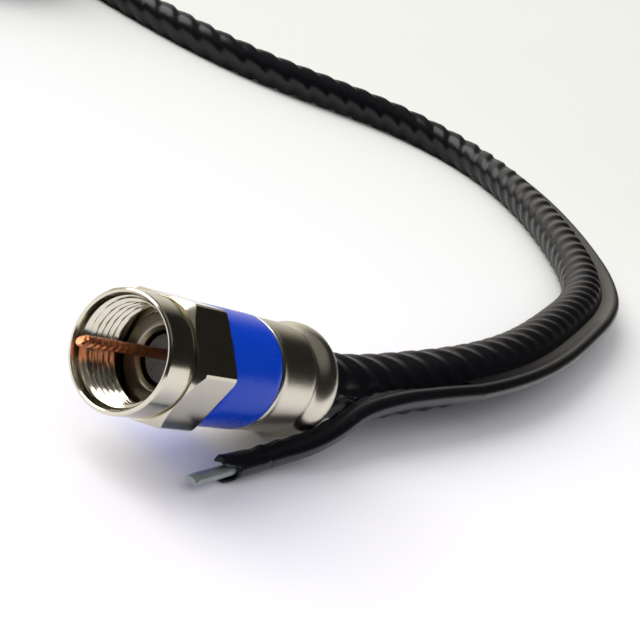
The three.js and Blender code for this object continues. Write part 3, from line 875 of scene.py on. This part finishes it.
def copper_finish():
    """Copper with patches of darker tarnish, and fine marks that run round it."""
    material, nodes = finish("bare_copper")
    cloud = nodes.noise(nodes.objects(), 900.0, 3.0)
    lines = nodes.rings(9000.0, 0.8)
    nodes.surface(
        {
            "Base Color": nodes.blend(cloud, (0.30, 0.085, 0.03, 1), (0.80, 0.34, 0.17, 1)),
            "Metallic": 1.0,
            "Roughness": lines * 0.15 + 0.22,
            "Normal": nodes.bump(lines, 0.2, 0.00005),
        }
    )
    return material


def wire_finish():
    """Dull drawn steel, mottled and a little green."""
    material, nodes = finish("drawn_steel")
    cloud = nodes.noise(nodes.objects(), 700.0, 4.0)
    nodes.surface(
        {
            "Base Color": nodes.blend(cloud, (0.30, 0.36, 0.34, 1), (0.56, 0.62, 0.59, 1)),
            "Metallic": 0.75,
            "Roughness": cloud * 0.2 + 0.34,
            "Normal": nodes.bump(cloud, 0.15, 0.0001),
        }
    )
    return material


def insulator_painted_shade_finish():
    """The cut end of foam plastic with a soft gloss, painted dark grey as the shade it lies in deep inside
    the post.
    """
    material, nodes = finish("foam_insulator_painted_shade")
    speck = nodes.noise(nodes.objects(), 3000.0, 3.0)
    nodes.surface(
        {
            # Painted shade: the pale foam is given a dark grey, for the shade inside the post's bore.
            "Base Color": nodes.blend(speck, (0.10, 0.095, 0.09, 1), (0.24, 0.22, 0.21, 1)),
            "Roughness": speck * 0.2 + 0.2,
            "Normal": nodes.bump(speck, 0.2, 0.0001),
        }
    )
    return material


def tie_finish():
    """Moulded black plastic with a fine satin grain."""
    material, nodes = finish("tie_plastic")
    grain = nodes.noise(nodes.objects(), 1800.0, 3.0)
    nodes.surface(
        {
            "Base Color": nodes.blend(grain, (0.012, 0.012, 0.013, 1), (0.024, 0.024, 0.026, 1)),
            "Roughness": grain * 0.15 + 0.38,
            "Normal": nodes.bump(grain, 0.15, 0.0001),
        }
    )
    return material


def floor_finish(look):
    """A plain pale tabletop, barely uneven, with painted shade: its colour turns a little darker and greener
    towards its far side.
    """
    material, nodes = finish("pale_floor")
    place = nodes.objects()
    cloud = nodes.noise(place, 9.0, 2.0)
    split = nodes.add("ShaderNodeSeparateXYZ", {}, {"Vector": place})
    # Painted shade: the far part of the floor is painted darker and greener, standing in for the light that
    # falls off towards the back.
    away = nodes.steps(split * 0.83 + nodes.part(split, "Y") * 0.48, -0.16, 0.12)
    ground = nodes.blend(away, (*look.floor_colour, 1), (*look.far_floor_painted_shade_colour, 1))
    nodes.surface(
        {
            "Base Color": nodes.blend(cloud * 0.02, ground, (0.7, 0.7, 0.72, 1)),
            "Roughness": cloud * 0.1 + 0.55,
            "Specular IOR Level": 0.2,
        }
    )
    return material


# Settings


class LeadCableSettings(bpy.types.PropertyGroup):
    """Sizes and colour of the cable."""

    ridge_height: bpy.props.FloatProperty(
        name="Ridge height",
        description="Height of the jacket's slanting ridges",
        default=0.0002, unit="LENGTH", precision=6
    )
    ridge_pitch: bpy.props.FloatProperty(
        name="Ridge pitch",
        description="Distance between ridges along the cable",
        default=0.005, unit="LENGTH", precision=5
    )
    ridge_starts: bpy.props.IntProperty(
        name="Ridge starts", description="Ridges side by side round the cable", default=3
    )
    fin_height: bpy.props.FloatProperty(
        name="Fin height",
        description="Height of the torn web on the coax leg",
        default=0.0004, unit="LENGTH", precision=6
    )
    jacket_colour: bpy.props.FloatVectorProperty(
        name="Jacket colour",
        description="Colour of the black jacket",
        default=(0.003, 0.003, 0.0045), subtype="COLOR"
    )
    jacket_roughness: bpy.props.FloatProperty(
        name="Jacket roughness", description="Lowest roughness of the jacket", default=0.22, subtype="FACTOR"
    )


class LeadPlugSettings(bpy.types.PropertyGroup):
    """Sizes and colours of the plugs."""

    pin_offset: bpy.props.FloatProperty(
        name="Pin offset",
        description="How far the near pin stands off the axis",
        default=0.00036, unit="LENGTH", precision=6
    )
    nickel_colour: bpy.props.FloatVectorProperty(
        name="Nickel colour",
        description="Colour of the plated metal",
        default=(0.78, 0.74, 0.615), subtype="COLOR"
    )
    post_colour: bpy.props.FloatVectorProperty(
        name="Post colour",
        description="Colour of the tinned post",
        default=(0.42, 0.37, 0.30), subtype="COLOR"
    )
    band_colour: bpy.props.FloatVectorProperty(
        name="Band colour",
        description="Colour of the plastic band",
        default=(0.0, 0.052, 0.56), subtype="COLOR"
    )


class LeadStageSettings(bpy.types.PropertyGroup):
    """Floor and light."""

    floor_colour: bpy.props.FloatVectorProperty(
        name="Floor colour",
        description="Colour of the tabletop",
        default=(0.93, 0.925, 0.945), subtype="COLOR"
    )
    # Painted shade: the tabletop further back is painted darker, and greener, than near the plugs.
    far_floor_painted_shade_colour: bpy.props.FloatVectorProperty(
        name="Far floor colour",
        description="Colour of the tabletop further back",
        default=(0.80, 0.825, 0.755), subtype="COLOR"
    )
    floor_size: bpy.props.FloatProperty(
        name="Floor size", description="Half the width of the floor", default=20.0, unit="LENGTH"
    )
    light_strength: bpy.props.FloatProperty(
        name="Light strength", description="Strength of the soft light from the left", default=1.92
    )
    fill_strength: bpy.props.FloatProperty(
        name="Fill strength", description="Strength of the broad light from overhead", default=1.9
    )


# Operators


class LEAD_OT_stage(bpy.types.Operator):
    """Adds the camera, the pale floor, the soft light and the surroundings"""

    bl_idname = "lead.stage"
    bl_label = "Stage"

    def execute(self, context):
        look = context.scene.lead_stage
        self.add_camera(context)
        size = look.floor_size
        mesh = bpy.data.meshes.new("floor")
        corners = [(-size, -size, 0), (size, -size, 0), (size, size, 0), (-size, size, 0)]
        mesh.from_pydata(corners, [], [(0, 1, 2, 3)])
        mesh.materials.append(floor_finish(look))
        floor = bpy.data.objects.new("floor", mesh)
        context.scene.collection.objects.link(floor)
        self.add_light(context, look)
        self.add_surroundings(context)
        context.scene.view_settings.view_transform = "Standard"
        return {"FINISHED"}

    def add_camera(self, context):
        camera = bpy.data.cameras.new("camera")
        camera.sensor_width = SENSOR_MM
        camera.lens = FOCAL_PIXELS / PHOTO_WIDTH * SENSOR_MM
        camera.clip_start = 0.005
        holder = bpy.data.objects.new("camera", camera)
        right = np.array(EYE_RIGHT) / np.linalg.norm(EYE_RIGHT)
        down = np.array(EYE_DOWN) - right * (np.array(EYE_DOWN) @ right)
        down /= np.linalg.norm(down)
        back = np.cross(right, -down)
        place = np.eye(4)
        place[:3, 0], place[:3, 1], place[:3, 2] = right, -down, back
        place[:3, 3] = np.array(EYE) + SHIFT
        holder.matrix_world = place.T
        context.scene.collection.objects.link(holder)
        context.scene.camera = holder

    def add_light(self, context, look):
        """A soft sun from high on the picture's left, and a broad fill that metal doesn't mirror."""
        self.add_sun(context, "soft_light", look.light_strength, 50, (1.0, 0.99, 0.975), (-37, -26))
        fill = self.add_sun(context, "fill_light", look.fill_strength, 165, (0.94, 0.93, 1.0), (0, 0))
        fill.visible_glossy = False

    def add_sun(self, context, name, energy, spread, colour, turn):
        """A sun as wide as its spread, turned about X and then Y, all in degrees."""
        sun = bpy.data.lights.new(name, "SUN")
        sun.energy = energy
        sun.angle = math.radians(spread)
        sun.color = colour
        holder = bpy.data.objects.new(name, sun)
        holder.rotation_euler = (math.radians(turn[0]), math.radians(turn[1]), 0)
        context.scene.collection.objects.link(holder)
        return holder

    def add_surroundings(self, context):
        """Dark surroundings for the metal to mirror: dim overhead, and bright far off to the left."""
        world = bpy.data.worlds.new("surroundings")
        nodes = Nodes(world)
        direction = nodes.part(nodes.add("ShaderNodeTexCoord"), "Generated")
        split = nodes.add("ShaderNodeSeparateXYZ", {}, {"Vector": direction})
        height = nodes.part(split, "Z")
        leftward = nodes.part(split, "Y") * 0.95 + split * 0.30
        bright = nodes.steps(height, 0.60, 0.90) * 0.16 + nodes.steps(leftward, 0.45, 0.90) * 0.9
        colour = nodes.blend(nodes.steps(height, 0.3, 0.7), (1.0, 0.93, 0.82, 1), (1.0, 0.96, 0.92, 1))
        shade = nodes.add("ShaderNodeBackground", {}, {"Color": colour, "Strength": bright + 0.018})
        nodes.add("ShaderNodeOutputWorld", {}, {"Surface": shade})
        context.scene.world = world


class LEAD_OT_cable(bpy.types.Operator):
    """Adds the cable with both coax legs, its two ground legs and their bare wires"""

    bl_idname = "lead.cable"
    bl_label = "Cable"

    def execute(self, context):
        look = context.scene.lead_cable
        jacket = jacket_finish(look)
        steel = wire_finish()
        near, far = near_plug(), far_plug()
        line = cable_line()
        total = distances(line)[-1]
        far_split = total - LEG_INSET - FAR_LEG
        fine_end, fine_step, coarse_step = 0.42, 0.55 * MM, 0.9 * MM
        overlap = 0.4 * MM
        fine = np.arange(SPLIT, fine_end, fine_step)
        main = np.concatenate((fine, np.arange(fine_end, far_split, coarse_step)))
        surfaces = [
            round_leg(line, np.arange(0, SPLIT + overlap, 0.35 * MM), look, look.fin_height),
            flat_cable(line, main, look),
            round_leg(line, np.arange(far_split - overlap, total, 0.6 * MM), look, look.fin_height),
        ]
        solids = ("cable_lead", "cable_coil", "cable_tail", "plug_a_coax_leg", "plug_b_coax_leg")
        cable = make_piece("coax_cable", surfaces, jacket, "cable", solids, 40)
        ground_near = np.vstack((ground_beside(line, SPLIT) - SHIFT, GROUND_ROUTE))
        pieces = self.add_ground(near, smooth_line(ground_near, 0.5 * MM) + SHIFT, jacket, steel, True)
        front = far.rim - SHIFT
        outward = -far.side
        route = [
            front + far.rearward * along + outward * out + np.array((0, 0, COIL_TOP + up - front[2]))
            for along, out, up in FAR_GROUND_ROUTE
        ]
        ground_far = np.vstack((ground_beside(line, far_split) - SHIFT, route))
        pieces += self.add_ground(far, smooth_line(ground_far, 0.5 * MM) + SHIFT, jacket, steel, False)
        context.view_layer.update()
        return {"FINISHED"}

    def add_ground(self, plug, line, jacket, steel, near):
        """One ground leg, open at its mouth, with the wire standing out of it."""
        total = distances(line)[-1]
        length = total - BARE_WIRE
        prefix = plug.prefix
        leg = make_piece(
            f"{prefix}_ground_jacket", [ground_jacket(line, length, near)], jacket, "cable",
            [f"{prefix}_ground_leg"], 35,
        )
        wire = make_piece(
            f"{prefix}_bare_wire", [bare_wire(line, length - 15 * MM, total)], steel, "cable",
            [f"{prefix}_ground_wire"], 35,
        )
        return [leg, wire]


class LEAD_OT_plugs(bpy.types.Operator):
    """Adds both plugs: nut, post, body, band, sleeve, insulator and pin"""

    bl_idname = "lead.plugs"
    bl_label = "Plugs"

    def execute(self, context):
        look = context.scene.lead_plug
        plated = plated_finish("nickel_nut", look.nickel_colour, 0.06, 9000.0, 0.10)
        brushed = plated_finish("nickel_sleeve", look.nickel_colour, 0.17, 16000.0, 0.16)
        post_metal = plated_finish("tinned_post", look.post_colour, 0.22, 7000.0, 0.35)
        blue = band_finish(look)
        foam = insulator_painted_shade_finish()
        copper = copper_finish()
        for plug, offset in ((near_plug(), look.pin_offset), (far_plug(), 0.0)):
            pieces = (
                ("hex_nut", nut_surface(plug), plated, plug.body, "nickel", "coupling_nut", 20),
                ("flanged_post", post_surface(plug), post_metal, "cable", "tin", "post", 30),
                ("barrel", body_surface(plug), brushed, "cable", "nickel", "body", 30),
                ("blue_band", band_surface(plug), blue, "cable", "band", "colour_band", 30),
                ("crimped_sleeve", sleeve_surface(plug), brushed, "cable", "nickel", "sleeve", 30),
                ("foam", insulator_surface(plug), foam, "cable", "foam", "insulator", 30),
                ("pin", conductor_surface(plug, offset), copper, "cable", "copper", "centre_conductor", 30),
            )
            for title, surface, material, body, slot, node, sharp in pieces:
                replaced = [f"{plug.prefix}_{node}"]
                make_piece(f"{plug.prefix}_{title}", [surface], material, body, replaced, sharp)
        return {"FINISHED"}


class LEAD_OT_tie(bpy.types.Operator):
    """Adds the strap that holds the coil's turns together"""

    bl_idname = "lead.tie"
    bl_label = "Tie"

    def execute(self, context):
        make_piece("tie_strap", tie_surfaces(), tie_finish(), "cable", ["coil_tie"], 40)
        return {"FINISHED"}


class LEAD_PT_panel(bpy.types.Panel):
    """Lists the lead's operators in the sidebar"""

    bl_idname = "LEAD_PT_panel"
    bl_label = "Coaxial lead"
    bl_space_type = "VIEW_3D"
    bl_region_type = "UI"
    bl_category = "Coaxial lead"

    def draw(self, context):
        for operator in OPERATORS:
            self.layout.operator(operator.bl_idname)


SETTINGS = {
    "lead_cable": LeadCableSettings,
    "lead_plug": LeadPlugSettings,
    "lead_stage": LeadStageSettings,
}
OPERATORS = (LEAD_OT_stage, LEAD_OT_cable, LEAD_OT_plugs, LEAD_OT_tie)


def register():
    for name, group in SETTINGS.items():
        bpy.utils.register_class(group)
        setattr(bpy.types.Scene, name, bpy.props.PointerProperty(type=group))
    for operator in OPERATORS:
        bpy.utils.register_class(operator)
    bpy.utils.register_class(LEAD_PT_panel)


def unregister():
    bpy.utils.unregister_class(LEAD_PT_panel)
    for operator in reversed(OPERATORS):
        bpy.utils.unregister_class(operator)
    for name, group in SETTINGS.items():
        delattr(bpy.types.Scene, name)
        bpy.utils.unregister_class(group)


def main():
    register()
    bpy.ops.lead.stage()
    bpy.ops.lead.cable()
    bpy.ops.lead.plugs()
    bpy.ops.lead.tie()
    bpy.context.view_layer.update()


if __name__ == "__main__":
    main()
